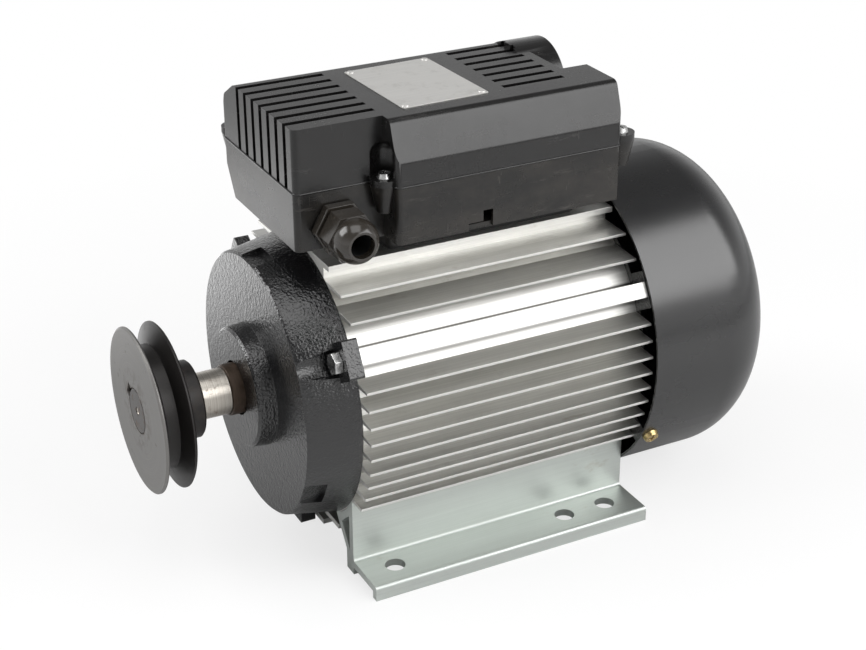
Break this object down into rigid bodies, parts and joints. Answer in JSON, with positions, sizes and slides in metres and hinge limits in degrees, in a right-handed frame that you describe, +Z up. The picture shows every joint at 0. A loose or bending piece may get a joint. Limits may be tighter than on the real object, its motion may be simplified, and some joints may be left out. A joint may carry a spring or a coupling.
{
  "type": "air compressor motor",
  "caption": "Foot-mounted electric motor with finned housing, end shields, fan cowl, terminal box with cable gland and a belt pulley on the shaft.",
  "frame": {"origin": "centre of the four outer foot holes, on the plane the feet stand on", "axes": "+Z up, +Y along the shaft away from the pulley, +X towards the side with the cable gland"},
  "size_m": [0.1734, 0.3315, 0.2385],
  "materials": {
    "bare_aluminium": "bright extruded, unpainted",
    "black_casting": "rough casting under gloss black paint",
    "zinc_steel": "zinc plated",
    "bearing_steel": "ground and polished",
    "pressed_steel": "pressed sheet",
    "black_rubber": "matt",
    "core_steel": "stacked sheet",
    "copper_wire": "varnished copper wire",
    "bright_steel": "turned",
    "brown_steel": "browned with light rust",
    "machined_iron": "turned, dark oiled",
    "black_plastic": "moulded, satin",
    "white_plastic": "moulded",
    "brown_board": "laminated board",
    "brass_parts": "bright",
    "black_sheet": "satin black over pressed sheet",
    "yellow_zinc": "yellow zinc plated steel",
    "blank_plate": "blank satin sheet",
    "grey_nylon": "moulded nylon"
  },
  "bodies": {
    "motor_frame": {"housing": "bare_aluminium", "foot_right": "bare_aluminium", "foot_left": "bare_aluminium", "drive_end_shield": "black_casting", "fan_end_shield": "black_casting", "drive_shield_bolts": "zinc_steel", "fan_shield_bolts": "zinc_steel", "drive_bearing_outer_race": "bearing_steel", "fan_bearing_outer_race": "bearing_steel", "shaft_seal": "black_rubber", "wave_spring": "pressed_steel", "stator_core": "core_steel", "stator_windings": "copper_wire", "switch_board": "brown_board", "switch_arm": "brass_parts", "switch_screws": "zinc_steel", "fan_cowl": "black_sheet", "cowl_screws": "yellow_zinc", "box_cover": "black_plastic", "box_base": "black_plastic", "cover_seal": "black_rubber", "box_gasket": "black_rubber", "cover_screws": "zinc_steel", "box_base_screws": "zinc_steel", "rating_plate": "blank_plate", "plate_pins": "blank_plate", "start_capacitor": "black_plastic", "run_capacitor": "white_plastic", "capacitor_straps": "pressed_steel", "strap_screws": "zinc_steel", "terminal_board": "brown_board", "terminal_studs": "brass_parts", "terminal_links": "brass_parts", "gland_body": "grey_nylon", "gland_washer": "black_rubber", "gland_seal": "black_rubber", "gland_nut": "grey_nylon", "earth_screw": "brass_parts"},
    "rotor": {"shaft": "bright_steel", "shaft_key": "bright_steel", "rotor_core": "core_steel", "rotor_cage": "bare_aluminium", "pulley": "machined_iron", "pulley_set_screw": "zinc_steel", "wear_sleeve": "brown_steel", "drive_bearing_inner_race": "bearing_steel", "fan_bearing_inner_race": "bearing_steel", "cooling_fan": "black_plastic", "fan_circlip": "pressed_steel", "governor_plate": "pressed_steel", "governor_pins": "bright_steel"},
    "drive_ball_set": {"drive_bearing_balls": "bearing_steel", "drive_bearing_cage": "pressed_steel"},
    "fan_ball_set": {"fan_bearing_balls": "bearing_steel", "fan_bearing_cage": "pressed_steel"},
    "governor_sleeve": {"governor_sleeve": "grey_nylon"},
    "flyweight_upper": {"flyweight_upper": "zinc_steel"},
    "flyweight_lower": {"flyweight_lower": "zinc_steel"}
  },
  "joints": [
    {"name": "shaft_spin", "type": "hinge", "parent": "motor_frame", "child": "rotor", "pos_m": [0, 0, 0.09], "axis": [0, 1, 0], "continuous": true},
    {"name": "drive_cage_spin", "type": "hinge", "parent": "motor_frame", "child": "drive_ball_set", "pos_m": [0, -0.1, 0.09], "axis": [0, 1, 0], "continuous": true},
    {"name": "fan_cage_spin", "type": "hinge", "parent": "motor_frame", "child": "fan_ball_set", "pos_m": [0, 0.101, 0.09], "axis": [0, 1, 0], "continuous": true},
    {"name": "governor_slide", "type": "slide", "parent": "rotor", "child": "governor_sleeve", "axis": [0, -1, 0], "range_m": [0, 0.003], "stiffness_N_per_m": 300},
    {"name": "upper_weight_swing", "type": "hinge", "parent": "rotor", "child": "flyweight_upper", "pos_m": [0, 0.08, 0.115], "axis": [-1, 0, 0], "range_deg": [0, 25]},
    {"name": "lower_weight_swing", "type": "hinge", "parent": "rotor", "child": "flyweight_lower", "pos_m": [0, 0.08, 0.065], "axis": [1, 0, 0], "range_deg": [0, 25]}
  ],
  "couplings": [
    {"joint": "drive_cage_spin", "follows": "shaft_spin", "ratio": 0.3974},
    {"joint": "fan_cage_spin", "follows": "shaft_spin", "ratio": 0.394},
    {"joint": "upper_weight_swing", "follows": "governor_slide", "rad_per_m": 145.4},
    {"joint": "lower_weight_swing", "follows": "governor_slide", "rad_per_m": 145.4}
  ]
}
